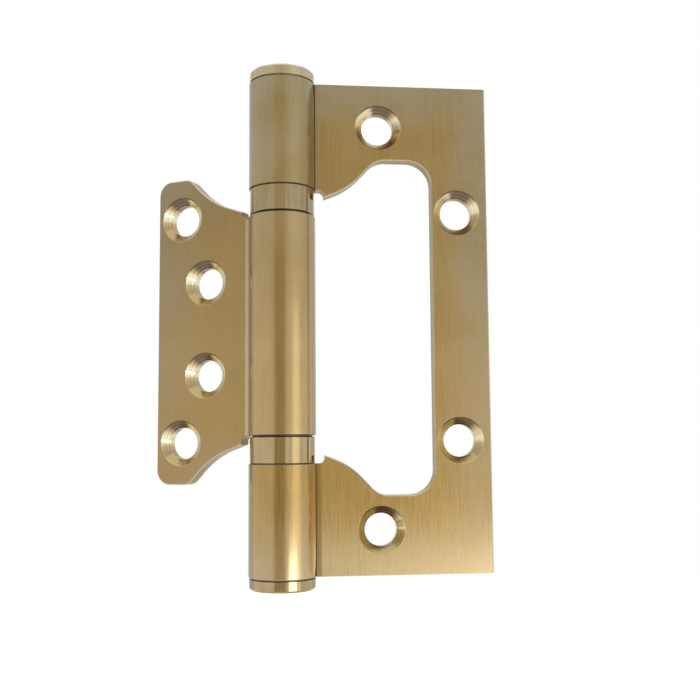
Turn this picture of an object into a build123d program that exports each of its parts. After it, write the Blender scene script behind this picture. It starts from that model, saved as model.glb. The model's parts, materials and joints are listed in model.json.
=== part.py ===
"""Flush hinge, 100 mm high: two rolled sheet leaves, a pin, two caps and two ball bearings.

All lengths are millimetres and all angles are degrees. The origin is on the pin's axis at
half height, +Z runs up the pin, and the outer leaf points along +X. The screw seats of the
outer leaf open towards -Y. The inner leaf stands opened a little past flat, away from the
side that its screw seats face.
"""

import os
from math import asin, atan2, cos, degrees, radians, sin, sqrt, tan

from build123d import *

# Leaves: the outer leaf frames a window, and the inner leaf fills it but for a gap
SHEET = 3.0
LEAF_HEIGHT = 100.0
OUTER_REACH = 42.4
ARM_HEIGHT = 15.75
BAR_WIDTH = 11.7
WINDOW_GAP = 2.1
EDGE_BREAK = 0.25

# Lobes of the inner leaf and the neck between them and the barrel
LOBE_WIDTH = 7.6
LOBE_CORNER_RADIUS = 3.0
SHOULDER_RADIUS = 2.5
FLANK_ANGLE = 46.5
FLANK_DROP = 5.55
FLANK_GAP = 2.7
KNEE_RADIUS = 18.0
NECK_DROP = 8.15
RELIEF_WIDTH = 1.75
RELIEF_DEPTH = 1.8
RELIEF_RADIUS = 1.1

# Barrel: the sheet is rolled round the pin
PIN_DIAMETER = 7.4
PIN_CLEARANCE = 0.05
SETBACK_RADIUS = 1.5
SEAM_GAP = 0.15
SEAM_FLARE_WIDTH = 0.4
SEAM_FLARE_LENGTH = 4.0
KNUCKLE_CHAMFER = 0.15

# Pin ends and caps
SPIGOT_DIAMETER = 4.0
SPIGOT_LENGTH = 1.5
SPIGOT_CLEARANCE = 0.05
PIN_CHAMFER = 0.3
CAP_STEP = 0.15
CAP_HEIGHT = 2.4
CAP_CHAMFER = 0.4
CAP_FOOT_STEP = 0.35
CAP_FOOT_HEIGHT = 0.3

# Ball bearings between the knuckles
BEARING_HEIGHT = 5.6
SLEEVE_STEP = 0.225
SLEEVE_WALL = 0.4
SLEEVE_RUNNING_GAP = 0.25
SLEEVE_CHAMFER = 0.15
RACE_CLEARANCE = 0.1
CAGE_CLEARANCE = 0.15
CAGE_HEIGHT = 0.7
BALL_DIAMETER = 1.5
BALL_CLEARANCE = 0.05
BALL_COUNT = 12
GROOVE_DEPTH = 0.2

# Countersunk screw holes, two in each of the places named
HOLE_DIAMETER = 6.6
SEAT_DIAMETER = 9.4
SEAT_ANGLE = 90.0
ARM_HOLE_REACH = 19.7
ARM_HOLE_INSET = 8.9
BAR_HOLE_INSET = 6.35
BAR_HOLE_SPACING = 46.9
LOBE_HOLE_INSET = 5.75
LOBE_HOLE_DROP = 8.55
NECK_HOLE_REACH = 17.1
NECK_HOLE_SPACING = 19.4

# Swing of the inner leaf at rest, from closed, where it lies in the window, past flat
OPEN_ANGLE = 208.8

# Worked out from the sizes above
FACE = SHEET / 2
LEAF_END = LEAF_HEIGHT / 2
LOBE_END = LEAF_END - ARM_HEIGHT - WINDOW_GAP
INNER_REACH = OUTER_REACH - BAR_WIDTH - WINDOW_GAP
NECK_END = LOBE_END - NECK_DROP
MIDDLE_KNUCKLE_END = NECK_END - RELIEF_DEPTH
OUTER_KNUCKLE_START = MIDDLE_KNUCKLE_END + BEARING_HEIGHT
BEARING_CENTRE = MIDDLE_KNUCKLE_END + BEARING_HEIGHT / 2
PIN_RADIUS = PIN_DIAMETER / 2
BORE_RADIUS = PIN_RADIUS + PIN_CLEARANCE
BARREL_RADIUS = BORE_RADIUS + SHEET
NECK_REACH = BARREL_RADIUS + RELIEF_WIDTH
CAP_RADIUS = BARREL_RADIUS - CAP_STEP
SLEEVE_RADIUS = BARREL_RADIUS - SLEEVE_STEP
BALL_RADIUS = BALL_DIAMETER / 2
RACE_INNER_RADIUS = PIN_RADIUS + RACE_CLEARANCE
RACE_OUTER_RADIUS = SLEEVE_RADIUS - SLEEVE_WALL - RACE_CLEARANCE
PITCH_RADIUS = (RACE_INNER_RADIUS + RACE_OUTER_RADIUS) / 2
RACE_FACE_GAP = BALL_DIAMETER - 2 * GROOVE_DEPTH
CUTTER_MARGIN = 2 * BARREL_RADIUS


def polar(radius, angle):
    """Point at a radius and an angle about the pin's axis, in plan."""
    return (radius * cos(radians(angle)), radius * sin(radians(angle)))


def heading(start, end):
    """Angle of the line from one point to another."""
    return degrees(atan2(end[1] - start[1], end[0] - start[0]))


def beside(point, angle, distance):
    """Point at a distance to the left of a line that runs through a point at an angle."""
    return (point[0] - distance * sin(radians(angle)), point[1] + distance * cos(radians(angle)))


def crossing(point, angle, other, other_angle):
    """Point where two lines meet, each given by a point on it and its angle."""
    dx, dy = cos(radians(angle)), sin(radians(angle))
    ex, ey = cos(radians(other_angle)), sin(radians(other_angle))
    along = ((other[0] - point[0]) * ey - (other[1] - point[1]) * ex) / (dx * ey - dy * ex)
    return (point[0] + along * dx, point[1] + along * dy)


def strip_section(reach):
    """Plan of a folded strip: flat leaf, set-back bend to +Y, and roll that ends at a seam."""
    bend_y = FACE + SETBACK_RADIUS
    bend_x = sqrt((BARREL_RADIUS + SETBACK_RADIUS) ** 2 - bend_y**2)
    bend = (bend_x, bend_y)
    roll_start = degrees(asin(bend_y / (BARREL_RADIUS + SETBACK_RADIUS)))
    roll_end = 360 - degrees(asin((FACE + SEAM_GAP) / BARREL_RADIUS))
    sweep = roll_end - roll_start
    turn = 90 - roll_start
    outline = [
        Line((reach, -FACE), (bend_x, -FACE)),
        CenterArc(bend, SETBACK_RADIUS + SHEET, 270, -turn),
        CenterArc((0, 0), BORE_RADIUS, roll_start, sweep),
        Line(polar(BORE_RADIUS, roll_end), polar(BARREL_RADIUS, roll_end)),
        CenterArc((0, 0), BARREL_RADIUS, roll_end, -sweep),
        CenterArc(bend, SETBACK_RADIUS, 270 - turn, turn),
        Line((bend_x, FACE), (reach, FACE)),
        Line((reach, FACE), (reach, -FACE)),
    ]
    return make_face(outline)


def neck_corners(gap, flank_gap):
    """Upper corners of the inner leaf's outline, from root to free edge, grown by its gaps."""
    root = (NECK_REACH, NECK_END)
    shoulder = (INNER_REACH - LOBE_WIDTH, LOBE_END)
    knee = (shoulder[0] - FLANK_DROP / tan(radians(FLANK_ANGLE)), LOBE_END - FLANK_DROP)
    neck_angle = heading(root, knee)
    neck = beside(root, neck_angle, gap)
    flank = beside(shoulder, FLANK_ANGLE, flank_gap)
    end = LOBE_END + gap
    return [
        crossing(neck, neck_angle, (NECK_REACH, 0), 90),
        crossing(neck, neck_angle, flank, FLANK_ANGLE),
        crossing(flank, FLANK_ANGLE, (0, end), 0),
        (INNER_REACH + gap, end),
    ]


def leaf_outline(gap, flank_gap, knuckle_end):
    """Outline of the inner leaf and its knuckle grown by its gaps, drawn in reach and height."""
    barrel_side = -CUTTER_MARGIN
    upper = neck_corners(gap, flank_gap)
    lower = [(reach, -height) for reach, height in reversed(upper)]
    radii = [KNEE_RADIUS - gap, SHOULDER_RADIUS + gap, LOBE_CORNER_RADIUS + gap]
    root = upper[0]
    relief = min(RELIEF_RADIUS, 0.9 * abs(knuckle_end - root[1]))
    outline = [
        FilletPolyline(*upper, *lower, radius=radii + radii[::-1]),
        FilletPolyline(lower[-1], (root[0], -knuckle_end), (barrel_side, -knuckle_end), radius=relief),
        Line((barrel_side, -knuckle_end), (barrel_side, knuckle_end)),
        FilletPolyline((barrel_side, knuckle_end), (root[0], knuckle_end), root, radius=relief),
    ]
    return make_face(outline)


def prism(outline):
    """Solid with an outline in reach and height, deep enough to pass right through the barrel."""
    return extrude(Plane.XZ * outline, amount=CUTTER_MARGIN, both=True)


def screw_cutter():
    """Screw hole with its head seat, to be cut into a face at z = 0 that looks along +Z."""
    hole = HOLE_DIAMETER / 2
    seat = SEAT_DIAMETER / 2
    seat_depth = (seat - hole) / tan(radians(SEAT_ANGLE / 2))
    profile = Polyline(
        (0, -2 * SHEET),
        (hole, -2 * SHEET),
        (hole, -seat_depth),
        (seat, 0),
        (seat, SHEET),
        (0, SHEET),
        close=True,
    )
    return revolve(Plane.XZ * make_face(profile), Axis.Z)


def screw_holes(places, side):
    """Cutters for pairs of holes, each at a reach and at a height above and below the middle.

    Their seats are in the face on one side of the leaf, -1 or 1 along Y.
    """
    cutter = screw_cutter()
    holes = []
    for reach, height in places:
        for level in (-height, height):
            face = Plane(origin=(reach, side * FACE, level), z_dir=(0, side, 0))
            holes.append(face * cutter)
    return holes


def is_rim(edge):
    """Whether an edge lies in a face of the flat part of a leaf, beyond the reliefs at its neck."""
    box = edge.bounding_box()
    in_face = box.size.Y < EDGE_BREAK / 2 and abs(abs(box.center().Y) - FACE) < EDGE_BREAK / 2
    return in_face and box.min.X > NECK_REACH - EDGE_BREAK and box.center().X > NECK_REACH + EDGE_BREAK


def break_edges(leaf):
    """Take the sharp edge off both faces of a leaf, where its outline runs clear of the bend."""
    return chamfer(leaf.edges().filter_by(is_rim), EDGE_BREAK)


def rim_cutters(end, side):
    """Cutters that break the outer rim of the barrel at a height and at its mirror image.

    The knuckle's end faces up there where the side is 1, and down where it is -1.
    """
    profile = Polyline(
        (BARREL_RADIUS - KNUCKLE_CHAMFER, end),
        (BARREL_RADIUS, end),
        (BARREL_RADIUS, end - side * KNUCKLE_CHAMFER),
        close=True,
    )
    ring = revolve(Plane.XZ * make_face(profile), Axis.Z)
    return [ring, mirror(ring, about=Plane.XY)]


def seam_flares():
    """Cutters that open the seam towards the ends of the barrel, where its sheet edge is filed back."""
    mouth = sqrt(BARREL_RADIUS**2 - (FACE + SEAM_GAP) ** 2)
    wedge = Polyline(
        (mouth, LEAF_END - SEAM_FLARE_LENGTH),
        (mouth - SEAM_FLARE_WIDTH, LEAF_END),
        (mouth - SEAM_FLARE_WIDTH, LEAF_END + SHEET),
        (mouth + SHEET, LEAF_END + SHEET),
        (mouth + SHEET, LEAF_END - SEAM_FLARE_LENGTH),
        close=True,
    )
    flare = Pos(0, -FACE, 0) * extrude(Plane.XZ * make_face(wedge), amount=BARREL_RADIUS)
    return [flare, mirror(flare, about=Plane.XY)]


def outer_leaf():
    """The large leaf, with a knuckle at each end and a window that lets the small leaf through."""
    leaf = extrude(strip_section(OUTER_REACH), amount=LEAF_END, both=True)
    leaf -= prism(leaf_outline(WINDOW_GAP, FLANK_GAP, OUTER_KNUCKLE_START))
    leaf -= seam_flares() + rim_cutters(LEAF_END, 1) + rim_cutters(OUTER_KNUCKLE_START, -1)
    arm_holes = (ARM_HOLE_REACH, LEAF_END - ARM_HOLE_INSET)
    bar_holes = (OUTER_REACH - BAR_HOLE_INSET, BAR_HOLE_SPACING / 2)
    return break_edges(leaf) - screw_holes((arm_holes, bar_holes), -1)


def inner_leaf():
    """The small leaf with the middle knuckle, made closed and then swung open."""
    blank = extrude(strip_section(INNER_REACH + SHEET), amount=LEAF_END, both=True)
    leaf = break_edges(blank & prism(leaf_outline(0, 0, MIDDLE_KNUCKLE_END)))
    leaf -= rim_cutters(MIDDLE_KNUCKLE_END, 1)
    lobe_holes = (INNER_REACH - LOBE_HOLE_INSET, LOBE_END - LOBE_HOLE_DROP)
    neck_holes = (NECK_HOLE_REACH, NECK_HOLE_SPACING / 2)
    return Rot(0, 0, -OPEN_ANGLE) * (leaf - screw_holes((lobe_holes, neck_holes), 1))


def hinge_pin():
    """Straight pin through the three knuckles, with a spigot at each end for a cap."""
    rod = Cylinder(PIN_RADIUS, LEAF_HEIGHT)
    rod = chamfer(rod.edges().filter_by(GeomType.CIRCLE), PIN_CHAMFER)
    spigots = Cylinder(SPIGOT_DIAMETER / 2, LEAF_HEIGHT + 2 * SPIGOT_LENGTH)
    return rod + spigots


def cap():
    """Turned cap that stands on z = 0 with a stepped foot, and a blind hole for the pin's spigot."""
    on_face = (Align.CENTER, Align.CENTER, Align.MIN)
    body = Pos(0, 0, CAP_FOOT_HEIGHT) * Cylinder(CAP_RADIUS, CAP_HEIGHT - CAP_FOOT_HEIGHT, align=on_face)
    body = chamfer(body.edges().group_by(Axis.Z)[-1], CAP_CHAMFER)
    body += Cylinder(CAP_RADIUS - CAP_FOOT_STEP, CAP_FOOT_HEIGHT, align=on_face)
    hole = SPIGOT_DIAMETER / 2 + SPIGOT_CLEARANCE
    return body - Cylinder(hole, SPIGOT_LENGTH + SPIGOT_CLEARANCE, align=on_face)


def sleeve():
    """Polished sleeve of a bearing, held against the outer leaf's knuckle at the top."""
    height = BEARING_HEIGHT - SLEEVE_RUNNING_GAP
    blank = Cylinder(SLEEVE_RADIUS, height)
    blank = chamfer(blank.edges().filter_by(GeomType.CIRCLE), SLEEVE_CHAMFER)
    tube = blank - Cylinder(SLEEVE_RADIUS - SLEEVE_WALL, height)
    return Pos(0, 0, SLEEVE_RUNNING_GAP / 2) * tube


def race():
    """Grooved race that lies above the balls, with the balls' centres at z = 0."""
    height = (BEARING_HEIGHT - RACE_FACE_GAP) / 2
    on_balls = Pos(0, 0, RACE_FACE_GAP / 2 + height / 2)
    ring = on_balls * (Cylinder(RACE_OUTER_RADIUS, height) - Cylinder(RACE_INNER_RADIUS, height))
    return ring - Torus(PITCH_RADIUS, BALL_RADIUS + BALL_CLEARANCE)


def ball_cage():
    """Flat ring with a round pocket for each ball."""
    inner = PIN_RADIUS + CAGE_CLEARANCE
    outer = SLEEVE_RADIUS - SLEEVE_WALL - CAGE_CLEARANCE
    ring = Cylinder(outer, CAGE_HEIGHT) - Cylinder(inner, CAGE_HEIGHT)
    pocket = Cylinder(BALL_RADIUS + BALL_CLEARANCE, CAGE_HEIGHT)
    return ring - [spot * pocket for spot in PolarLocations(PITCH_RADIUS, BALL_COUNT)]


def bearing_pieces():
    """Pieces of one bearing about its own centre, with the outer leaf's knuckle above it."""
    pieces = {
        "bearing_sleeve": sleeve(),
        "fixed_race": race(),
        "turning_race": mirror(race(), about=Plane.XY),
        "ball_cage": ball_cage(),
    }
    for number, spot in enumerate(PolarLocations(PITCH_RADIUS, BALL_COUNT), start=1):
        pieces[f"ball_{number:02d}"] = spot * Sphere(BALL_RADIUS)
    return pieces


def hinge_pieces():
    """Every piece of the hinge at its place, by name."""
    pieces = {
        "outer_leaf": outer_leaf(),
        "inner_leaf": inner_leaf(),
        "hinge_pin": hinge_pin(),
        "top_cap": Pos(0, 0, LEAF_END) * cap(),
        "bottom_cap": mirror(Pos(0, 0, LEAF_END) * cap(), about=Plane.XY),
    }
    for name, piece in bearing_pieces().items():
        upper = Pos(0, 0, BEARING_CENTRE) * piece
        pieces[f"upper_{name}"] = upper
        pieces[f"lower_{name}"] = mirror(upper, about=Plane.XY)
    return pieces


os.makedirs("parts", exist_ok=True)
for piece_name, solid in hinge_pieces().items():
    export_step(solid, f"parts/{piece_name}.step")
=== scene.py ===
"""Looks of the flush hinge: finishes for every piece, a plain studio and the camera.

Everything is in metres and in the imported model's own frame: the origin is on the pin's axis at
half height, +Z runs up the pin and the outer leaf points along +X.
"""

import json
import logging
import math
from abc import ABC, abstractmethod
from collections.abc import Callable, Mapping, Sequence
from dataclasses import dataclass, field
from enum import Enum
from functools import reduce
from operator import add
from typing import Any, Union

import bpy
from mathutils import Matrix, Vector

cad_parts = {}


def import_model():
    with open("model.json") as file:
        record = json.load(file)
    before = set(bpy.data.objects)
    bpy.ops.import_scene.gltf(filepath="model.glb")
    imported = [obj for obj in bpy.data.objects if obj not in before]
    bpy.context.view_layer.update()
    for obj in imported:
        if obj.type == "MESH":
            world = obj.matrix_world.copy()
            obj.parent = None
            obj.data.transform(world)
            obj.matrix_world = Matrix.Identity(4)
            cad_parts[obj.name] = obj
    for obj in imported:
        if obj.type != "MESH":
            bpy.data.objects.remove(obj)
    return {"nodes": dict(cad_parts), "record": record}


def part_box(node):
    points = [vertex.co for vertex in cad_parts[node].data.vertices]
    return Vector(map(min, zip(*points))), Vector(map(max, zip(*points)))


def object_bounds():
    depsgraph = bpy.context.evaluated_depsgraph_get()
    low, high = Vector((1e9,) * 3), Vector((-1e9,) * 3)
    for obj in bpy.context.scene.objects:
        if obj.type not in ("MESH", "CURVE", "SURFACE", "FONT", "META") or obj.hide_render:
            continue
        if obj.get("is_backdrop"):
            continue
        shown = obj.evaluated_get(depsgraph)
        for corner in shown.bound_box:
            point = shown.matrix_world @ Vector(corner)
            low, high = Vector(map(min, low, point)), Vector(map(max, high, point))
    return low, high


log = logging.getLogger("flush_hinge")

MM = 0.001
TO_RIGHT = (1.0, 0.0, 0.0)
TO_FRONT = (0.0, -1.0, 0.0)
UP = (0.0, 0.0, 1.0)
WITHOUT_HEIGHT = (1.0, 1.0, 0.0)
WHITE = (1.0, 1.0, 1.0)

Colour = tuple[float, float, float]
Span = tuple[float, float]
Operand = Union[float, Sequence[float], "Signal"]


class Side(Enum):
    """Face of a leaf, as a sign along the way that its back faces."""

    FRONT = -1.0
    BACK = 1.0


class Signal:
    """A node's output socket that can be used in arithmetic.

    Args:
        sheet: the sheet of nodes that the socket belongs to.
        socket: the output socket.
    """

    def __init__(self, sheet: "NodeSheet", socket: bpy.types.NodeSocket) -> None:
        self.sheet = sheet
        self.socket = socket

    @property
    def is_vector(self) -> bool:
        """Whether the socket carries a direction or a place."""
        return self.socket.type == "VECTOR"

    def __add__(self, other: Operand) -> "Signal":
        """Sum."""
        return self.sheet.calculate("ADD", self, other)

    def __radd__(self, other: Operand) -> "Signal":
        """Sum with the signal on the right."""
        return self.sheet.calculate("ADD", other, self)

    def __sub__(self, other: Operand) -> "Signal":
        """Difference."""
        return self.sheet.calculate("SUBTRACT", self, other)

    def __rsub__(self, other: Operand) -> "Signal":
        """Difference with the signal on the right."""
        return self.sheet.calculate("SUBTRACT", other, self)

    def __mul__(self, other: Operand) -> "Signal":
        """Product."""
        return self.sheet.calculate("MULTIPLY", self, other)

    def __rmul__(self, other: Operand) -> "Signal":
        """Product with the signal on the right."""
        return self.sheet.calculate("MULTIPLY", other, self)

    def __truediv__(self, other: Operand) -> "Signal":
        """Quotient."""
        return self.sheet.calculate("DIVIDE", self, other)

    def __pow__(self, power: float) -> "Signal":
        """Power."""
        return self.sheet.calculate("POWER", self, power)

    def __abs__(self) -> "Signal":
        """Size without its sign."""
        return self.sheet.calculate("ABSOLUTE", self)

    def __gt__(self, limit: Operand) -> "Signal":
        """1 where the signal is over a limit, and 0 elsewhere."""
        return self.sheet.calculate("GREATER_THAN", self, limit)

    def __lt__(self, limit: Operand) -> "Signal":
        """1 where the signal is under a limit, and 0 elsewhere."""
        return self.sheet.calculate("LESS_THAN", self, limit)

    def least(self, other: Operand) -> "Signal":
        """The smaller of two values."""
        return self.sheet.calculate("MINIMUM", self, other)

    def most(self, other: Operand) -> "Signal":
        """The larger of two values."""
        return self.sheet.calculate("MAXIMUM", self, other)

    def along(self, direction: Sequence[float]) -> "Signal":
        """How far a place lies along a direction."""
        settings = {"operation": "DOT_PRODUCT"}
        return self.sheet.add("ShaderNodeVectorMath", settings, {0: self, 1: direction}, "Value")

    def radius(self) -> "Signal":
        """How far a place is from the pin's axis."""
        flat = self * WITHOUT_HEIGHT
        return self.sheet.add("ShaderNodeVectorMath", {"operation": "LENGTH"}, {0: flat}, "Value")

    def sway(self, amount: float) -> "Signal":
        """Turns a pattern from 0 to 1 into one about 0, whose ends are an amount apart."""
        return (self - 0.5) * amount

    def ramp(self, low: float, high: float, start: float = 0.0, end: float = 1.0) -> "Signal":
        """Goes smoothly from start to end while the signal goes from low to high.

        Args:
            low: value of the signal where the change begins.
            high: value of the signal where the change is done, which may be under low.
            start: result at low and before it.
            end: result at high and past it.

        Returns:
            The eased value.
        """
        ease = {"data_type": "FLOAT", "interpolation_type": "SMOOTHSTEP", "clamp": True}
        if low < high:
            sockets = {"Value": self, 1: low, 2: high, 3: start, 4: end}
        else:
            sockets = {"Value": self, 1: high, 2: low, 3: end, 4: start}
        return self.sheet.add("ShaderNodeMapRange", ease, sockets)


class NodeSheet:
    """The nodes of one material, or of the world, and the ways to add to them.

    Args:
        tree: the node tree, which is emptied first.
    """

    GRAIN_ROUGHNESS = 0.55
    RING_ROUGHNESS = 0.6
    RING_DETAIL = 3.0
    SEED_SHIFT = (1.0, 0.7, 1.3)

    def __init__(self, tree: bpy.types.NodeTree) -> None:
        self.tree = tree
        tree.nodes.clear()

    def connect(self, socket: bpy.types.NodeSocket, value: Operand) -> None:
        """Gives an input socket a link or a plain value."""
        if isinstance(value, Signal):
            self.tree.links.new(value.socket, socket)
        elif isinstance(value, Sequence) and socket.type == "RGBA":
            socket.default_value = (*value[:3], 1.0)
        elif socket.type == "VECTOR" and not isinstance(value, Sequence):
            socket.default_value = (value, value, value)
        else:
            socket.default_value = value

    def add(
        self,
        kind: str,
        settings: Mapping[str, Any] | None = None,
        sockets: Mapping[str | int, Operand] | None = None,
        output: str | int = 0,
    ) -> Signal:
        """Adds one node of any kind.

        Args:
            kind: the node's type.
            settings: the node's own properties, set before its sockets.
            sockets: values or links of input sockets, by name or by number.
            output: the output socket that is wanted.

        Returns:
            The wanted output as a signal.
        """
        node = self.tree.nodes.new(kind)
        for name, value in (settings or {}).items():
            setattr(node, name, value)
        for name, value in (sockets or {}).items():
            self.connect(node.inputs[name], value)
        return Signal(self, node.outputs[output] if len(node.outputs) else None)

    def calculate(self, operation: str, *values: Operand) -> Signal:
        """Adds the Math or Vector Math node for one operation.

        Args:
            operation: the node's operation.
            values: its operands in order.

        Returns:
            The result, a vector where any operand is one.
        """
        vector = any(isinstance(v, Sequence) or (isinstance(v, Signal) and v.is_vector) for v in values)
        kind = "ShaderNodeVectorMath" if vector else "ShaderNodeMath"
        return self.add(kind, {"operation": operation}, dict(enumerate(values)))

    def blend(self, share: Operand, first: Operand, second: Operand) -> Signal:
        """Mixes two colours.

        Args:
            share: how much of the second, from 0 to 1.
            first: the colour at 0.
            second: the colour at 1.

        Returns:
            The mixed colour.
        """
        settings = {"data_type": "RGBA", "blend_type": "MIX", "clamp_factor": True}
        return self.add("ShaderNodeMix", settings, {0: share, 6: first, 7: second}, 2)

    def place(self) -> Signal:
        """Place on the piece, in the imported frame, which stays with the piece as it moves."""
        return self.add("ShaderNodeTexCoord", output="Object")

    def facing(self) -> Signal:
        """Direction that the surface faces, which turns with the piece as it moves."""
        return self.add("ShaderNodeTexCoord", output="Normal")

    def grain(self, place: Signal, size: Sequence[float], detail: float = 2.0, seed: float = 0.0) -> Signal:
        """Soft random pattern from 0 to 1.

        Args:
            place: where the pattern is looked up.
            size: typical size of its patches along X, Y and Z, in metres.
            detail: how many finer layers are added.
            seed: shifts the pattern, so that two of one size differ.

        Returns:
            The pattern's value.
        """
        scaled = place * [1 / s for s in size] + [seed * shift for shift in self.SEED_SHIFT]
        sockets = {"Vector": scaled, "Scale": 1.0, "Detail": detail, "Roughness": self.GRAIN_ROUGHNESS}
        return self.add("ShaderNodeTexNoise", {"noise_dimensions": "3D"}, sockets, "Fac")

    def rings(self, distance: Signal, width: float, seed: float = 0.0) -> Signal:
        """Fine random rings or lines from 0 to 1 along one distance."""
        along = distance * (1 / width) + seed
        sockets = {"W": along, "Scale": 1.0, "Detail": self.RING_DETAIL, "Roughness": self.RING_ROUGHNESS}
        return self.add("ShaderNodeTexNoise", {"noise_dimensions": "1D"}, sockets, "Fac")

    def bump(self, height: Signal, depth: float, under: Signal | None = None) -> Signal:
        """Surface normal for a relief.

        Args:
            height: the relief, from 0 to 1.
            depth: how deep it is from 0 to 1, in metres.
            under: normal of a relief that this one is laid over.

        Returns:
            The normal.
        """
        sockets = {"Strength": 1.0, "Distance": depth, "Height": height}
        if under is not None:
            sockets["Normal"] = under
        return self.add("ShaderNodeBump", None, sockets)

    def surface(self, sockets: Mapping[str | int, Operand]) -> None:
        """Ends the sheet with a shader for the surface."""
        shader = self.add("ShaderNodeBsdfPrincipled", None, sockets)
        self.add("ShaderNodeOutputMaterial", None, {"Surface": shader})


@dataclass(frozen=True)
class ScrewPair:
    """Two countersunk holes at one reach, above and below the middle of a leaf."""

    reach: float
    height: float


@dataclass(frozen=True)
class LeafPlan:
    """Where a leaf's own directions, edges, seam and holes are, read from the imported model.

    Args:
        outwards: direction from the pin to the leaf's free edge.
        backwards: direction that its back faces.
        pairs: its screw holes.
        free_edge: reach of the free edge.
        end: height of its upper edge.
        barrel: radius of its knuckles.
        seam_side: the face that the rolled sheet's seam is in.
        half_sheet: half the sheet's thickness.
    """

    outwards: tuple[float, ...]
    backwards: tuple[float, ...]
    pairs: tuple[ScrewPair, ...]
    free_edge: float
    end: float
    barrel: float
    seam_side: Side
    half_sheet: float

    @property
    def seam_reach(self) -> float:
        """Reach at which the rolled end of the sheet meets the leaf again."""
        return math.sqrt(self.barrel**2 - self.half_sheet**2)

    @classmethod
    def read(cls, node: str, mounts: Mapping[str, dict], prefix: str, seam_side: Side) -> "LeafPlan":
        """Works the plan out from a leaf's mounts, its mesh and its box.

        Args:
            node: the leaf's CAD node.
            mounts: the record's mounts by name.
            prefix: start of the names of the leaf's mounts.
            seam_side: the face that the seam is in.

        Returns:
            The plan.
        """
        back = mounts[f"{prefix}_leaf_back"]
        backwards = Vector(back["axis"]).normalized()
        centre = Vector(back["pos_m"])
        half_sheet = centre.dot(backwards)
        outwards = (centre - half_sheet * backwards).normalized()
        pairs = []
        for name in (f"{prefix}_near_screws", f"{prefix}_far_screws"):
            dims = mounts[name]["dims"]
            spacing = dims.get("spacing_y_mm") or dims["pcd_mm"]
            reach = Vector(mounts[name]["pos_m"]).dot(outwards)
            pairs.append(ScrewPair(reach, spacing / 2 * MM))
        reaches = [outwards.dot(vertex.co) for vertex in bpy.data.objects[node].data.vertices]
        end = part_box(node)[1].z
        sizes = (max(reaches), end, -min(reaches), seam_side, half_sheet)
        return cls(tuple(outwards), tuple(backwards), tuple(pairs), *sizes)


def new_material(name: str, draw: Callable[[NodeSheet], None]) -> bpy.types.Material:
    """Makes a material.

    Args:
        name: its name.
        draw: what adds its nodes to a sheet.

    Returns:
        The material.
    """
    material = bpy.data.materials.new(name)
    material.use_nodes = True
    draw(NodeSheet(material.node_tree))
    return material


@dataclass(frozen=True)
class Finish(ABC):
    """A finish that becomes one material.

    Args:
        name: name of the material.
    """

    name: str

    @abstractmethod
    def draw(self, sheet: NodeSheet) -> None:
        """Adds the finish's nodes to a sheet."""

    def material(self) -> bpy.types.Material:
        """Makes the material."""
        return new_material(self.name, self.draw)


@dataclass(frozen=True)
class LeafMarks:
    """Regions of a leaf, each 1 inside and 0 outside.

    Args:
        on_leaf: the sheet beyond the knuckles.
        in_seat: the screw seats and holes.
        on_wall: the cut edges of the sheet.
        in_bend: the hollow of the bend between the barrel and the sheet, which gets a painted highlight.
        on_rim: the broken edges of the sheet and of the barrel's ends, worn and with a painted highlight.
        in_joint: the knuckles' end faces and the mouth of the seam, dark with oil, dust and painted shade.
        nicks: small bright spots in the mouth of the seam: worn nicks with a painted glint.
        aged: the greyer band along the outer edges.
        foot_sheen: painted sheen, 1 along the foot of the large leaf and of its lower knuckle, fading out
            above.
    """

    on_leaf: Signal
    in_seat: Signal
    on_wall: Signal
    in_bend: Signal
    on_rim: Signal
    in_joint: Signal
    nicks: Signal
    aged: Signal
    foot_sheen: Signal


@dataclass(frozen=True)
class SeatMap:
    """Where a place lies round the axis of the screw hole that it is next to.

    Args:
        distance: distance from the axis.
        inside: 1 in a screw seat, and 0 elsewhere.
        outwards: cosine of the direction from the axis, measured from the leaf's free edge.
        upwards: cosine of the same direction, measured from the top.
    """

    distance: Signal
    inside: Signal
    outwards: Signal
    upwards: Signal

    def fan(self, aim: float, spread: float) -> Signal:
        """Wedge of the seat about one direction.

        Args:
            aim: direction in degrees, from the free edge towards the top.
            spread: angle at which the wedge has faded out.

        Returns:
            1 in the middle of the wedge, and 0 outside.
        """
        turn = math.radians(aim)
        along = self.outwards * math.cos(turn) + self.upwards * math.sin(turn)
        return along.ramp(math.cos(math.radians(spread)), math.cos(math.radians(spread / 2)))


@dataclass(frozen=True)
class LeafGrain:
    """Patterns in a leaf's surface, each from 0 to 1.

    Args:
        lines: the finest brush lines.
        streaks: short streaks, a few lines wide.
        bands: long bands up the barrel.
        patches: slow changes of tone.
        rings: tool rings round each screw hole.
    """

    lines: Signal
    streaks: Signal
    bands: Signal
    patches: Signal
    rings: Signal


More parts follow.
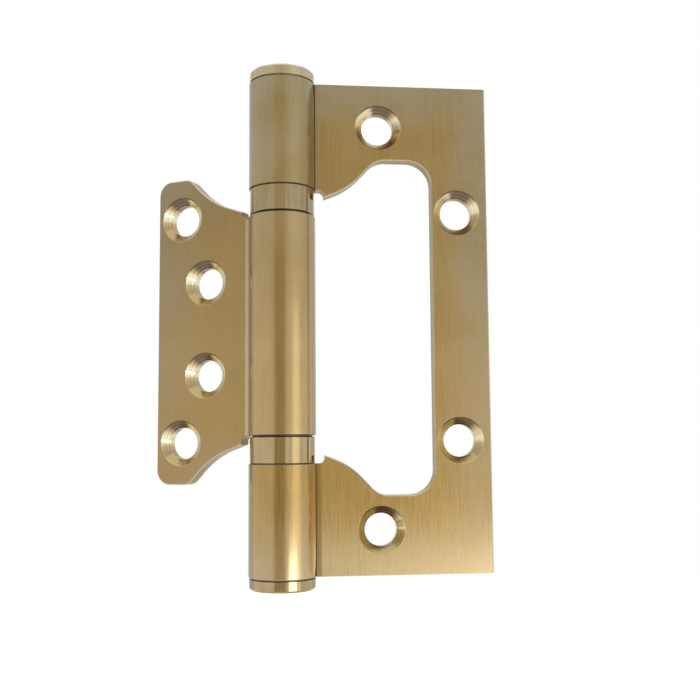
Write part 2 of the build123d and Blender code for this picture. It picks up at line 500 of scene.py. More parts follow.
@dataclass(frozen=True)
class SeatLook:
    """Look of the screw seats: tool rings, painted shade at the top, painted glints, painted dull bottom.

    Cosines are measured from the top of a seat. A fan is the direction and the spread of a wedge,
    in degrees.

    Args:
        light: colour of the tool's rings.
        deep: colour between the rings.
        dull: colour of the painted dull reflection on the lower part.
        dark: colour of the painted shade.
        glint: colour of the painted glints.
        radius: radius of a seat.
        ring_width: typical width of a ring.
        ring_depth: depth of the rings.
        ring_span: values of the pattern between which a ring sets in.
        dull_span: cosines between which the painted dull lower part sets in.
        dull_share: how dull it is.
        edge_span: cosines between which the painted shadow along the upper edge sets in.
        dark_fan: the wedge of painted shade.
        dark_rings: how much the rings thin the painted shade.
        near_fan: the painted glint towards the free edge of the leaf.
        far_fan: the painted glint towards the barrel.
        far_share: strength of that second painted glint.
        glint_rings: how much of a glint only the rings have.
        roughness: roughness between the rings.
        ring_roughness: how much rougher the rings are.
    """

    light: Colour = (0.88, 0.66, 0.320)
    deep: Colour = (0.54, 0.37, 0.140)
    dull: Colour = (0.50, 0.37, 0.145)
    dark: Colour = (0.14, 0.09, 0.050)
    glint: Colour = (1.00, 0.92, 0.620)
    radius: float = 4.78 * MM
    ring_width: float = 0.24 * MM
    ring_depth: float = 0.006 * MM
    ring_span: Span = (0.35, 0.65)
    dull_span: Span = (0.1, -0.6)
    dull_share: float = 0.85
    edge_span: Span = (0.2, 0.8)
    dark_fan: tuple[float, float] = (78.0, 40.0)
    dark_rings: float = 0.2
    near_fan: tuple[float, float] = (17.0, 22.0)
    far_fan: tuple[float, float] = (143.0, 42.0)
    far_share: float = 0.85
    glint_rings: float = 0.4
    roughness: float = 0.08
    ring_roughness: float = 0.12

    def tone(self, sheet: NodeSheet, rings: Signal, seats: SeatMap) -> Signal:
        """Colour of the screw seats, with painted shade, painted glints and a painted dull lower part.

        Args:
            sheet: the sheet of nodes.
            rings: the pattern of the tool's rings.
            seats: where a place lies in its seat.

        Returns:
            The colour.
        """
        ring = rings.ramp(*self.ring_span)
        tone = sheet.blend(ring, self.deep, self.light)
        # Painted dull reflection on the lower part of each seat.
        tone = sheet.blend(seats.upwards.ramp(*self.dull_span) * self.dull_share, tone, self.dull)
        # Painted shade: a wedge at the top of each seat and a shadow along its upper edge.
        edge = (seats.distance > self.radius - self.ring_width) * seats.upwards.ramp(*self.edge_span)
        dark = (seats.fan(*self.dark_fan) * (1 - ring * self.dark_rings)).most(edge)
        tone = sheet.blend(dark, tone, self.dark)
        # Painted glints on either side of each seat.
        glint = seats.fan(*self.near_fan) + seats.fan(*self.far_fan) * self.far_share
        glint = glint * (ring * self.glint_rings + (1 - self.glint_rings))
        return sheet.blend(glint * (1 - edge), tone, self.glint)


@dataclass(frozen=True)
class LeafLimits:
    """Where the regions of a leaf begin and end.

    A tilt is a cosine: that between a face and the leaf's back for the sheet, and that between a
    face and the pin for the barrel. A span goes from where a change begins to where it is done.

    Args:
        back_tilt: tilt over which a face is the flat back of the leaf.
        sheet_to_rim: tilts from the flat sheet to its broken edge.
        wall_to_rim: tilts from the cut edge of the sheet to its broken edge.
        rim_to_wall: tilts from the broken edge of the sheet to its cut edge.
        side_to_rim: tilts from the side of the barrel to the broken edge of its end.
        end_to_rim: tilts from the end face of the barrel to its broken edge.
        rim_to_end: tilts from the broken edge of the barrel's end to its end face.
        knuckle_reach: reach at which the knuckles end and the sheet begins.
        barrel_margin: how far outside the barrel's radius a place still counts as on it.
        end_zone: how far from the leaf's upper and lower end a place is still at an outer end.
        bend_depth: depth under which a place is in the bend, in half thicknesses of the sheet.
        bend_reach: reach over which it is, in radii of the barrel.
        seam_depths: depths between which the seam lies, in half thicknesses of the sheet.
        seam_reach: reach over which it lies, in radii of the barrel.
        seam_width: how far the dirt and painted shade of its mouth spread.
        seam_blur: over how much more the dirt and painted shade fade out.
        nick_size: typical height of a nick.
        nick_span: values of the pattern between which a nick sets in.
        nick_margin: how far from the ends of the leaf the nicks stop.
        edge_band: width of the greyer band along the outer edges.
        edge_levels: levels between which that band gets greyer.
        edge_least: how grey it is at the lower one.
        knuckle_levels: levels between which the knuckles get greyer.
        knuckle_most: how grey they are at the upper one.
        patch_span: values of the slow pattern between which the grey gets stronger.
        patch_least: how strong it is at the lower one.
        foot: levels between which the painted sheen along the foot sets in.
    """

    back_tilt: float = 0.9
    sheet_to_rim: Span = (0.97, 0.85)
    wall_to_rim: Span = (0.45, 0.60)
    rim_to_wall: Span = (0.45, 0.30)
    side_to_rim: Span = (0.30, 0.50)
    end_to_rim: Span = (0.95, 0.85)
    rim_to_end: Span = (0.90, 0.97)
    knuckle_reach: float = 7.7 * MM
    barrel_margin: float = 0.02 * MM
    end_zone: float = 4.78 * MM
    bend_depth: float = -0.98
    bend_reach: float = 0.92
    seam_depths: Span = (1 / 3, 1.14)
    seam_reach: float = 0.5
    seam_width: float = 0.08 * MM
    seam_blur: float = 0.15 * MM
    nick_size: float = 0.5 * MM
    nick_span: Span = (0.58, 0.66)
    nick_margin: float = 4 * MM
    edge_band: float = 13 * MM
    edge_levels: Span = (-30 * MM, 40 * MM)
    edge_least: float = 0.45
    knuckle_levels: Span = (10 * MM, 45 * MM)
    knuckle_most: float = 0.7
    patch_span: Span = (0.3, 0.7)
    patch_least: float = 0.4
    foot: Span = (-34 * MM, -50 * MM)


@dataclass(frozen=True)
class BrushedGold(Finish):
    """Champagne gold on sheet that was brushed along the pin, with its screw seats turned bright.

    A share is how much of a colour shows where its pattern or its region is full, and the sizes of
    the brushing are a width and a length.

    Args:
        plan: where the leaf's regions are.
        sheet_shade: how much painted shade darkens the flat sheet against the rest.
        knuckle_painted_light: how much painted light makes the knuckles paler than the rest.
        limits: where the regions begin and end.
        seat: look of the screw seats.
        leaf_calm: how much weaker the patches and the bands are on the flat sheet.
    """

    plan: LeafPlan
    sheet_shade: float = 0.0
    knuckle_painted_light: float = 0.0
    limits: LeafLimits = LeafLimits()
    seat: SeatLook = SeatLook()
    leaf_calm: float = 0.4
    light: Colour = (0.52, 0.338, 0.105)
    deep: Colour = (0.40, 0.243, 0.053)
    olive: Colour = (0.35, 0.260, 0.075)
    tarnish: Colour = (0.43, 0.385, 0.275)
    wall: Colour = (0.42, 0.310, 0.150)
    # painted highlight in the hollow of the bend
    bend: Colour = (0.53, 0.430, 0.240)
    # wear and painted highlight on the rims and the nicks
    wear_and_highlight: Colour = (0.66, 0.54, 0.340)
    # painted light: the sheen along the foot and the paler knuckles
    pale: Colour = (0.54, 0.425, 0.230)
    # painted shade for the flat sheet
    shade: Colour = (0.28, 0.175, 0.050)
    # dirt and painted shade in the joints
    grime_and_shade: Colour = (0.13, 0.090, 0.045)
    patch_span: Span = (0.32, 0.68)
    band_span: Span = (0.45, 0.70)
    streak_span: Span = (0.40, 0.65)
    band_share: float = 0.55
    streak_share: float = 0.45
    line_share: float = 0.15
    tarnish_share: float = 0.75
    foot_sheen_share: float = 0.60
    bend_highlight_share: float = 0.70
    leaf_roughness: float = 0.27
    knuckle_roughness: float = 0.17
    line_roughness: float = 0.08
    streak_roughness: float = 0.12
    aged_roughness: float = 0.05
    wall_roughness: float = 0.08
    grime_roughness: float = 0.60
    anisotropy: float = 0.88
    lacquer: float = 0.9
    lacquer_roughness: float = 0.16
    line_size: tuple[float, float] = (0.12 * MM, 7 * MM)
    streak_size: tuple[float, float] = (0.35 * MM, 8 * MM)
    band_size: tuple[float, float] = (2.4 * MM, 70 * MM)
    patch_size: float = 15 * MM
    line_depth: float = 0.003 * MM

    def draw(self, sheet: NodeSheet) -> None:
        """Adds the finish's nodes to a sheet."""
        place = sheet.place()
        seats = self.seats(place)
        grain = self.grain(sheet, place, seats)
        marks = self.marks(sheet, place, grain, seats)
        lines = sheet.bump(grain.lines * (1 - marks.in_seat), self.line_depth)
        sheet.surface(
            {
                "Base Color": self.tone(sheet, marks, grain, seats),
                "Metallic": 1.0,
                "Roughness": self.rough(marks, grain),
                "Anisotropic": self.anisotropy,
                "Coat Weight": self.lacquer,
                "Coat Roughness": self.lacquer_roughness,
                "Normal": sheet.bump(grain.rings * marks.in_seat, self.seat.ring_depth, under=lines),
            }
        )

    def seats(self, place: Signal) -> SeatMap:
        """Finds the screw seats, and the direction round the nearest hole's axis."""
        reach = place.along(self.plan.outwards)
        level = place.along(UP)
        height = abs(level)
        offsets = [(reach - pair.reach, height - pair.height) for pair in self.plan.pairs]
        gaps = [(ahead**2 + above**2) ** 0.5 for ahead, above in offsets]
        inside = [gap < self.seat.radius for gap in gaps]
        distance = reduce(Signal.least, gaps)
        outwards = reduce(add, [here * ahead for here, (ahead, _) in zip(inside, offsets)])
        upwards = reduce(add, [here * above for here, (_, above) in zip(inside, offsets)])
        upside = (level > 0) * 2 - 1
        return SeatMap(distance, reduce(add, inside), outwards / distance, upwards * upside / distance)

    def grain(self, sheet: NodeSheet, place: Signal, seats: SeatMap) -> LeafGrain:
        """Draws the patterns, with everything that was brushed running up the pin."""
        brushed = (self.line_size, self.streak_size, self.band_size)
        lines, streaks, bands = ((width, width, length) for width, length in brushed)
        return LeafGrain(
            lines=sheet.grain(place, lines, detail=3.0),
            streaks=sheet.grain(place, streaks, detail=2.0, seed=7.3),
            bands=sheet.grain(place, bands, detail=2.0, seed=1.9),
            patches=sheet.grain(place, (self.patch_size,) * 3, detail=3.0, seed=2.9),
            rings=sheet.rings(seats.distance, self.seat.ring_width),
        )

    def marks(self, sheet: NodeSheet, place: Signal, grain: LeafGrain, seats: SeatMap) -> LeafMarks:
        """Finds the regions of the leaf."""
        plan, limits = self.plan, self.limits
        facing = sheet.facing()
        reach = place.along(plan.outwards)
        level = place.along(UP)
        height = abs(level)
        depth = place.along(plan.backwards) * plan.seam_side.value
        flatness = abs(facing.along(plan.backwards))
        upright = abs(facing.along(UP))

        on_leaf = reach > limits.knuckle_reach
        on_knuckle = 1 - on_leaf
        in_seat = seats.inside * on_leaf * (facing.along(plan.backwards) < limits.back_tilt)
        plain = on_leaf * (1 - in_seat)
        sheet_rim = plain * flatness.ramp(*limits.sheet_to_rim) * flatness.ramp(*limits.wall_to_rim)
        in_barrel = (place.radius() < plan.barrel + limits.barrel_margin) * on_knuckle
        outer_end = height > plan.end - limits.end_zone
        off_side = upright.ramp(*limits.side_to_rim)
        end_rim = in_barrel * off_side * upright.ramp(*limits.end_to_rim) * outer_end
        end_face = in_barrel * upright.ramp(*limits.rim_to_end) * outer_end
        end_face = end_face + in_barrel * off_side * (1 - outer_end)
        relief = (1 - in_barrel) * on_knuckle * off_side
        in_bend = (depth < limits.bend_depth * plan.half_sheet) * on_knuckle
        in_bend = in_bend * (reach > limits.bend_reach * plan.barrel)

        mouth = plan.seam_reach + limits.seam_width
        seam_from, seam_to = (share * plan.half_sheet for share in limits.seam_depths)
        seam = (depth > seam_from) * (depth < seam_to) * reach.ramp(mouth + limits.seam_blur, mouth)
        seam = seam * (reach > limits.seam_reach * plan.barrel)
        nicks = sheet.rings(level, limits.nick_size).ramp(*limits.nick_span) * seam
        nicks = nicks * height.ramp(plan.end - limits.nick_margin, 0.0)

        near_edge = (plan.free_edge - reach).least(plan.end - height).ramp(limits.edge_band, 0.0)
        aged_edge = near_edge * level.ramp(*limits.edge_levels, start=limits.edge_least)
        aged_knuckle = on_knuckle * level.ramp(*limits.knuckle_levels) * limits.knuckle_most
        strength = grain.patches.ramp(*limits.patch_span, start=limits.patch_least)
        return LeafMarks(
            on_leaf=on_leaf,
            in_seat=in_seat,
            on_wall=(plain * flatness.ramp(*limits.rim_to_wall) + relief).least(1.0),
            in_bend=in_bend,
            on_rim=(sheet_rim + end_rim).least(1.0),
            in_joint=(end_face + seam).least(1.0),
            nicks=nicks,
            aged=aged_edge.most(aged_knuckle) * strength,
            foot_sheen=level.ramp(*limits.foot),
        )

    def tone(self, sheet: NodeSheet, marks: LeafMarks, grain: LeafGrain, seats: SeatMap) -> Signal:
        """Colour of the metal, laid on in layers, some of which are painted light and shade."""
        calm = self.leaf_calm * marks.on_leaf
        patches = grain.patches.ramp(*self.patch_span) * (1 - calm)
        bands = grain.bands.ramp(*self.band_span) * (self.band_share - calm)
        brushing = grain.streaks.ramp(*self.streak_span) * self.streak_share + grain.lines * self.line_share
        layers = (
            (patches, self.light),
            (bands, self.olive),
            (brushing, self.light),
            (marks.aged * self.tarnish_share, self.tarnish),
            # painted sheen along the foot
            (marks.foot_sheen * self.foot_sheen_share, self.pale),
            # painted shade on the flat sheet and painted light on the knuckles
            (marks.on_leaf * self.sheet_shade, self.shade),
            ((1 - marks.on_leaf) * self.knuckle_painted_light, self.pale),
            # painted highlight in the hollow of the bend
            (marks.in_bend * self.bend_highlight_share, self.bend),
            (marks.in_seat, self.seat.tone(sheet, grain.rings, seats)),
            (marks.on_wall, sheet.blend(grain.lines, self.wall, self.deep)),
            # wear and painted highlight on the rims
            (marks.on_rim, self.wear_and_highlight),
            # dirt and painted shade on the knuckles' ends and in the mouth of the seam
            (marks.in_joint, self.grime_and_shade),
            # worn nicks with a painted glint
            (marks.nicks, self.wear_and_highlight),
        )
        tone = self.deep
        for share, colour in layers:
            tone = sheet.blend(share, tone, colour)
        return tone

    def rough(self, marks: LeafMarks, grain: LeafGrain) -> Signal:
        """Roughness of the metal."""
        rough = marks.on_leaf * (self.leaf_roughness - self.knuckle_roughness) + self.knuckle_roughness
        rough = rough + grain.lines.sway(self.line_roughness) + grain.streaks.sway(self.streak_roughness)
        rough = rough + marks.aged * self.aged_roughness
        ringed = grain.rings * self.seat.ring_roughness + self.seat.roughness
        rough = rough * (1 - marks.in_seat) + ringed * marks.in_seat
        rough = rough + marks.on_wall * self.wall_roughness
        return rough * (1 - marks.in_joint) + self.grime_roughness * marks.in_joint


@dataclass(frozen=True)
class TurnedMetal(Finish):
    """Turned and polished metal with fine tool rings, and dirt and painted shade on its joint faces.

    A tilt is the cosine between a face and the pin.

    Args:
        outside: radius of the turned outside, under which a piece is dark with oil and painted shade.
        0 leaves the whole piece without them.
        pattern_share: how much of the light colour the patches and the streaks each bring.
        dull_span: values of the patches between which the metal gets duller.
        dull_roughness: how much rougher it is there.
        end_span: tilts between which the rings of the side give way to those of the end.
        joint_step: how far under the outside the dark steps begin.
        side_tilt: tilt under which a face is a side.
        end_tilt: tilt over which a face is an end.
    """

    outside: float = 0.0
    light: Colour = (0.51, 0.375, 0.180)
    deep: Colour = (0.41, 0.290, 0.120)
    # dirt and painted shade on the joint faces
    grime_and_shade: Colour = (0.14, 0.100, 0.055)
    roughness: float = 0.10
    ring_roughness: float = 0.05
    dull_roughness: float = 0.04
    grime_roughness: float = 0.60
    lacquer: float = 0.8
    lacquer_roughness: float = 0.05
    ring_width: float = 0.09 * MM
    ring_depth: float = 0.0006 * MM
    streak_size: tuple[float, float] = (1.1 * MM, 30 * MM)
    patch_size: float = 7 * MM
    patch_span: Span = (0.30, 0.70)
    streak_span: Span = (0.35, 0.65)
    pattern_share: float = 0.5
    dull_span: Span = (0.45, 0.75)
    end_span: Span = (0.6, 0.8)
    joint_step: float = 0.2 * MM
    side_tilt: float = 0.2
    end_tilt: float = 0.9

    def draw(self, sheet: NodeSheet) -> None:
        """Adds the finish's nodes to a sheet."""
        place = sheet.place()
        upright = sheet.facing().along(UP)
        level = place.along(UP)
        radius = place.radius()
        on_end = abs(upright).ramp(*self.end_span)
        rings = sheet.rings(level, self.ring_width) * (1 - on_end)
        rings = rings + sheet.rings(radius, self.ring_width, seed=4.1) * on_end
        patches = sheet.grain(place, (self.patch_size,) * 3, detail=4.0, seed=1.7)
        width, length = self.streak_size
        streaks = sheet.grain(place, (width, width, length), detail=2.0, seed=3.3)
        dirt_and_shade = self.dirt(level, upright, radius)
        pattern = patches.ramp(*self.patch_span) * self.pattern_share
        pattern = pattern + streaks.ramp(*self.streak_span) * self.pattern_share
        tone = sheet.blend(pattern, self.deep, self.light)
        # dirt and painted shade on the joint faces
        tone = sheet.blend(dirt_and_shade, tone, self.grime_and_shade)
        rough = self.roughness + rings.sway(self.ring_roughness)
        rough = rough + patches.ramp(*self.dull_span) * self.dull_roughness
        rough = rough * (1 - dirt_and_shade) + self.grime_roughness * dirt_and_shade
        sheet.surface(
            {
                "Base Color": tone,
                "Metallic": 1.0,
                "Roughness": rough,
                "Coat Weight": self.lacquer,
                "Coat Roughness": self.lacquer_roughness,
                "Normal": sheet.bump(rings, self.ring_depth),
            }
        )

    def dirt(self, level: Signal, upright: Signal, radius: Signal) -> Signal:
        """Finds faces with dirt and painted shade: steps under the turned outside, faces to the middle."""
        inner = (radius < self.outside - self.joint_step) * (abs(upright) < self.side_tilt)
        towards_middle = (upright * level < 0) * (abs(upright) > self.end_tilt)
        return inner.most(towards_middle * float(self.outside > 0))


@dataclass(frozen=True)
class MouldedNylon(Finish):
    """Natural nylon with a faint mould texture."""

    light: Colour = (0.80, 0.78, 0.71)
    deep: Colour = (0.70, 0.67, 0.58)
    roughness: float = 0.48
    grain_roughness: float = 0.15
    subsurface: float = 0.1
    patch_size: float = 1.5 * MM
    grain_size: float = 0.12 * MM
    grain_depth: float = 0.003 * MM

    def draw(self, sheet: NodeSheet) -> None:
        """Adds the finish's nodes to a sheet."""
        place = sheet.place()
        patches = sheet.grain(place, (self.patch_size,) * 3, detail=3.0)
        grain = sheet.grain(place, (self.grain_size,) * 3, detail=2.0, seed=5.0)
        sheet.surface(
            {
                "Base Color": sheet.blend(patches, self.deep, self.light),
                "Roughness": self.roughness + grain.sway(self.grain_roughness),
                "Normal": sheet.bump(grain, self.grain_depth),
                "Subsurface Weight": self.subsurface,
            }
        )


def dress(node: bpy.types.Object, material: bpy.types.Material) -> None:
    """Gives a CAD node its material in the object's own slot."""
    for slot in node.material_slots:
        slot.link = "OBJECT"
        slot.material = material
    log.info("%s is finished in %s", node.name, material.name)


def outside_radius(node: str) -> float:
    """Radius of a turned piece, from its box."""
    low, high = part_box(node)
    return (high.x - low.x) / 2


@dataclass
class Leaf:
    """A rolled leaf with its knuckles and screw seats.

    Args:
        node: the leaf's CAD node.
        prefix: start of the names of its mounts.
        seam_side: the face that the seam of its knuckles is in.
        sheet_shade: how much painted shade darkens its flat sheet against the rest.
        knuckle_painted_light: how much painted light makes its knuckles paler than the rest.
    """

    node: str
    prefix: str
    seam_side: Side
    sheet_shade: float = 0.0
    knuckle_painted_light: float = 0.0

    def build(self, nodes: Mapping[str, bpy.types.Object], mounts: Mapping[str, dict]) -> None:
        """Reads the leaf's plan and dresses it.

        Args:
            nodes: the CAD nodes by name.
            mounts: the record's mounts by name.
        """
        plan = LeafPlan.read(self.node, mounts, self.prefix, self.seam_side)
        gold = BrushedGold(f"{self.node}_brushed_gold", plan, self.sheet_shade, self.knuckle_painted_light)
        dress(nodes[self.node], gold.material())


@dataclass
class PinAndCaps:
    """The pin inside the knuckles and the cap at each of its ends.

    Args:
        pin: the pin's CAD node.
        top_cap: the upper cap's CAD node.
        bottom_cap: the lower cap's CAD node.
        top_light: light colour of the upper cap, paler than the lower one as painted light.
        top_deep: deep colour of the upper cap, paler as painted light too.
        top_grime_and_shade: colour of the dirt and painted shade in the upper cap's joint, lighter than
            below.
        steel: finish of the pin.
    """

    pin: str = "hinge_pin"
    top_cap: str = "top_cap"
    bottom_cap: str = "bottom_cap"
    # painted light: the upper cap is paler than the lower one
    top_light: Colour = (0.74, 0.60, 0.35)
    top_deep: Colour = (0.60, 0.46, 0.24)
    top_grime_and_shade: Colour = (0.46, 0.38, 0.25)
    steel: TurnedMetal = TurnedMetal(
        "pin_ground_steel", light=(0.60, 0.60, 0.59), deep=(0.45, 0.45, 0.44), roughness=0.24, lacquer=0.0
    )

    def build(self, nodes: Mapping[str, bpy.types.Object]) -> None:
        """Dresses the pin and the caps."""
        # The upper cap gets paler colours and a lighter joint as painted light.
        colours = {"light": self.top_light, "deep": self.top_deep, "grime_and_shade": self.top_grime_and_shade}
        paler = TurnedMetal("top_cap_polished_gold_painted_light", outside_radius(self.top_cap), **colours)
        dress(nodes[self.top_cap], paler.material())
        gold = TurnedMetal("bottom_cap_polished_gold", outside_radius(self.bottom_cap))
        dress(nodes[self.bottom_cap], gold.material())
        dress(nodes[self.pin], self.steel.material())


@dataclass
class Bearing:
    """One ball bearing: sleeve, two races, cage and balls.

    Args:
        prefix: start of the names of its nodes.
    """

    prefix: str
    # The races are dark with grease and with painted shade.
    race: TurnedMetal = TurnedMetal(
        "race_greased_and_shaded_steel", light=(0.13, 0.095, 0.06), deep=(0.07, 0.050, 0.030), roughness=0.3, lacquer=0.0
    )
    ball: TurnedMetal = TurnedMetal(
        "ball_bright_steel", light=(0.72, 0.72, 0.73), deep=(0.66, 0.66, 0.67), roughness=0.06, lacquer=0.0
    )
    cage: MouldedNylon = MouldedNylon("cage_nylon")

    def build(self, nodes: Mapping[str, bpy.types.Object]) -> None:
        """Dresses every piece of the bearing."""
        outside = outside_radius(f"{self.prefix}bearing_sleeve")
        sleeve = TurnedMetal("sleeve_polished_gold", outside, roughness=0.08)
        finishes = {"bearing_sleeve": sleeve, "race": self.race, "ball_cage": self.cage, "ball_": self.ball}
        made = {word: finish.material() for word, finish in finishes.items()}
        for name, node in sorted(nodes.items()):
            if name.startswith(self.prefix):
                word = next(word for word in finishes if word in name)
                dress(node, made[word])


@dataclass(frozen=True)
class Softbox:
    """A lamp with a rectangular face that is turned towards the hinge.

    Args:
        name: name of the lamp.
        azimuth: where it stands round the hinge in degrees, from the front to the right.
        height: height of its middle.
        size: width and height of its face.
        glow: brightness of its face, where 1 is the white surroundings.
    """

    name: str
    azimuth: float
    height: float
    size: tuple[float, float]
    glow: float

    def build(self, distance: float) -> None:
        """Makes the lamp at a distance from the pin."""
        angle = math.radians(self.azimuth)
        place = Vector((distance * math.sin(angle), -distance * math.cos(angle), self.height))
        data = bpy.data.lights.new(self.name, "AREA")
        data.shape = "RECTANGLE"
        data.size, data.size_y = self.size
        data.energy = self.glow * math.pi * self.size[0] * self.size[1]
        lamp = bpy.data.objects.new(self.name, data)
        lamp.matrix_world = Matrix.Translation(place) @ (-place).to_track_quat("-Z", "Y").to_matrix().to_4x4()
        lamp.visible_camera = False
        bpy.context.scene.collection.objects.link(lamp)


def stage_mesh(
    name: str, corners: Sequence[Sequence[float]], faces: Sequence[Sequence[int]]
) -> bpy.types.Object:
    """Adds a mesh that is part of the studio and not of the hinge.

    Args:
        name: name of the object.
        corners: its corners.
        faces: numbers of the corners of each face.

    Returns:
        The object.
    """
    mesh = bpy.data.meshes.new(name)
    mesh.from_pydata(corners, [], faces)
    mesh.update()
    made = bpy.data.objects.new(name, mesh)
    bpy.context.scene.collection.objects.link(made)
    made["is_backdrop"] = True
    return made


@dataclass
class Studio:
    """Camera, plain pale floor, lamps and surroundings.

    The camera's turns are in radians, up, to the left and to the right, and its lens and sensor in
    millimetres. Azimuths are in degrees, from the front to the right.

    Args:
        floor_gap: how far the floor is under the hinge.
        floor_glow: light that the floor gives off in the camera's view.
        floor_sway: how far the patches of the floor vary its roughness.
        wall_steps: number of flat faces in the wall.
        side_heights: heights between which the sides of the wall change colour.
        front_heights: heights between which the part behind the camera does.
        front_from: azimuth at which that part begins.
        front_to: azimuth at which it ends.
        rear_from: azimuth, to either side, from which the wall is behind the hinge.
        tone_blur: over how many degrees one part turns into the next.
        world_light: brightness of the surroundings as light, where they look 1.
    """

    eye: tuple[float, float, float] = (-8.0 * MM, -200.5 * MM, -24.5 * MM)
    pitch: float = 0.0966
    yaw: float = -0.1081
    roll: float = 0.0077
    lens: float = 51.2
    sensor: float = 36.0
    clip: tuple[float, float] = (1 * MM, 100.0)
    floor_gap: float = 200 * MM
    floor_size: float = 3.0
    floor_tone: Colour = (0.9, 0.9, 0.9)
    floor_glow: float = 0.35
    floor_roughness: float = 0.85
    floor_grain: float = 0.02
    floor_sway: float = 0.1
    wall_radius: float = 0.62
    wall_top: float = 0.75
    wall_steps: int = 96
    side_low: Colour = (0.90, 0.91, 0.94)
    side_high: Colour = (0.68, 0.71, 0.76)
    side_heights: Span = (0.0, 0.20)
    front_low: Colour = (0.50, 0.45, 0.33)
    front_high: Colour = (0.62, 0.60, 0.52)
    front_heights: Span = (0.08, 0.24)
    rear: Colour = (0.62, 0.62, 0.62)
    front_from: float = -28.0
    front_to: float = 7.0
    rear_from: float = 118.0
    tone_blur: float = 3.0
    world_light: float = 0.8
    lamp_distance: float = 0.60
    lamps: Sequence[Softbox] = field(
        default_factory=lambda: (
            Softbox("right_softbox", 46.0, -0.04, (0.56, 0.26), 0.50),
            Softbox("right_high_softbox", 43.0, 0.06, (0.84, 0.50), 0.10),
            Softbox("low_softbox", 33.0, -0.145, (0.67, 0.07), 3.6),
        )
    )

    def build(self, bounds: tuple[Vector, Vector]) -> None:
        """Makes the whole studio round the hinge.

        Args:
            bounds: lowest and highest corner of the hinge.
        """
        floor_level = bounds[0].z - self.floor_gap
        self.make_camera()
        self.make_floor(floor_level)
        self.make_wall(floor_level)
        for lamp in self.lamps:
            lamp.build(self.lamp_distance)
        self.make_world()
        bpy.context.scene.view_settings.view_transform = "Standard"

    def make_camera(self) -> None:
        """Makes the camera at the photograph's place."""
        data = bpy.data.cameras.new("photograph_view")
        data.sensor_width = self.sensor
        data.lens = self.lens
        data.clip_start, data.clip_end = self.clip
        camera = bpy.data.objects.new("photograph_view", data)
        turn = Matrix.Rotation(self.yaw, 4, "Z") @ Matrix.Rotation(math.pi / 2 + self.pitch, 4, "X")
        camera.matrix_world = Matrix.Translation(self.eye) @ turn @ Matrix.Rotation(-self.roll, 4, "Z")
        bpy.context.scene.collection.objects.link(camera)
        bpy.context.scene.camera = camera

    def make_floor(self, level: float) -> None:
        """Makes the plain pale floor, which keeps the hinge's shadow."""
        half = self.floor_size / 2
        corners = [(-half, -half, level), (half, -half, level), (half, half, level), (-half, half, level)]
        floor = stage_mesh("floor", corners, [(0, 1, 2, 3)])
        floor.data.materials.append(new_material("floor_white", self.draw_floor))

    def draw_floor(self, sheet: NodeSheet) -> None:
        """Adds the floor's nodes: matt paper with a glow that only the camera sees."""
        grain = sheet.grain(sheet.place(), (self.floor_grain,) * 3, detail=2.0)
        glow = sheet.add("ShaderNodeLightPath", output="Is Camera Ray") * self.floor_glow
        rough = self.floor_roughness + grain.sway(self.floor_sway)
        sockets = {"Base Color": self.floor_tone, "Roughness": rough}
        paper = sheet.add("ShaderNodeBsdfPrincipled", None, sockets)
        light = sheet.add("ShaderNodeEmission", None, {"Color": WHITE, "Strength": glow})
        both = sheet.add("ShaderNodeAddShader", None, {0: paper, 1: light})
        sheet.add("ShaderNodeOutputMaterial", None, {"Surface": both})

    def make_wall(self, foot: float) -> None:
        """Makes the grey room round the hinge, which only the metal's reflections show."""
        corners = []
        for step in range(self.wall_steps):
            angle = math.tau * step / self.wall_steps
            side, front = self.wall_radius * math.sin(angle), -self.wall_radius * math.cos(angle)
            corners += [(side, front, foot), (side, front, self.wall_top)]
        count = len(corners)
        faces = [(s, (s + 2) % count, (s + 3) % count, s + 1) for s in range(0, count, 2)]
        wall = stage_mesh("room_wall", corners, faces)
        wall.visible_camera = False
        wall.visible_shadow = False
        wall.visible_diffuse = False
        wall.data.materials.append(new_material("wall_grey", self.draw_wall))

    def draw_wall(self, sheet: NodeSheet) -> None:
        """Adds the wall's nodes, which give off its colour as light."""
        glow = sheet.add("ShaderNodeEmission", None, {"Color": self.wall_tone(sheet), "Strength": 1.0})
        sheet.add("ShaderNodeOutputMaterial", None, {"Surface": glow})

    def wall_tone(self, sheet: NodeSheet) -> Signal:
        """Colour of the wall: cool and paler low down, but warm and darker low down behind the camera."""
        place = sheet.place()
        height = place.along(UP)
        azimuth = sheet.calculate("ARCTAN2", place.along(TO_RIGHT), place.along(TO_FRONT)) * math.degrees(1)
        front = azimuth.ramp(self.front_from - self.tone_blur, self.front_from)
        front = front * azimuth.ramp(self.front_to + self.tone_blur, self.front_to)
        rear = abs(azimuth).ramp(self.rear_from, self.rear_from + self.tone_blur)
        side = sheet.blend(height.ramp(*self.side_heights), self.side_low, self.side_high)
        behind_camera = sheet.blend(height.ramp(*self.front_heights), self.front_low, self.front_high)
        return sheet.blend(front, sheet.blend(rear, side, self.rear), behind_camera)

    def make_world(self) -> None:
        """Makes the white surroundings, a little dimmer as light than as they look."""
        world = bpy.data.worlds.new("white_surroundings")
        world.use_nodes = True
        bpy.context.scene.world = world
        sheet = NodeSheet(world.node_tree)
        rays = ("Camera", "Glossy", "Transmission")
        seen = reduce(Signal.most, [sheet.add("ShaderNodeLightPath", output=f"Is {ray} Ray") for ray in rays])
        strength = seen * (1 - self.world_light) + self.world_light
        white = sheet.add("ShaderNodeBackground", None, {"Color": WHITE, "Strength": strength})
        sheet.add("ShaderNodeOutputWorld", None, {"Surface": white})


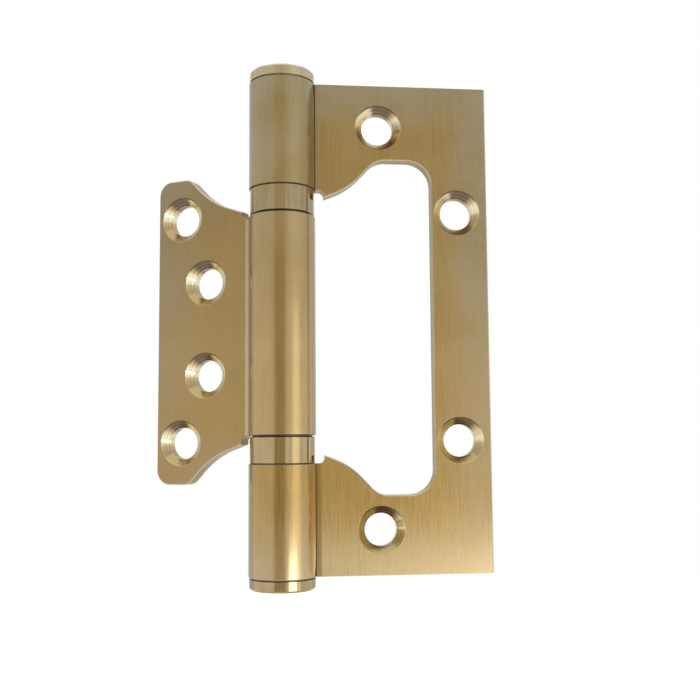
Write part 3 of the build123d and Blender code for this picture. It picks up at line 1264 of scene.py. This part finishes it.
def main() -> None:
    """Dresses the hinge and makes the studio round it."""
    logging.basicConfig(level=logging.INFO, format="%(name)s: %(message)s")
    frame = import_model()
    cad_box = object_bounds()
    nodes = frame["nodes"]
    mounts = {mount["name"]: mount for mount in frame["record"]["mounts"]}
    Leaf("outer_leaf", "outer", Side.FRONT).build(nodes, mounts)
    # The inner leaf gets painted shade on its flat sheet and painted light on its knuckles.
    Leaf("inner_leaf", "inner", Side.BACK, sheet_shade=0.32, knuckle_painted_light=0.30).build(nodes, mounts)
    PinAndCaps().build(nodes)
    for prefix in ("upper_", "lower_"):
        Bearing(prefix).build(nodes)
    Studio().build(cad_box)


if __name__ == "__main__":
    main()
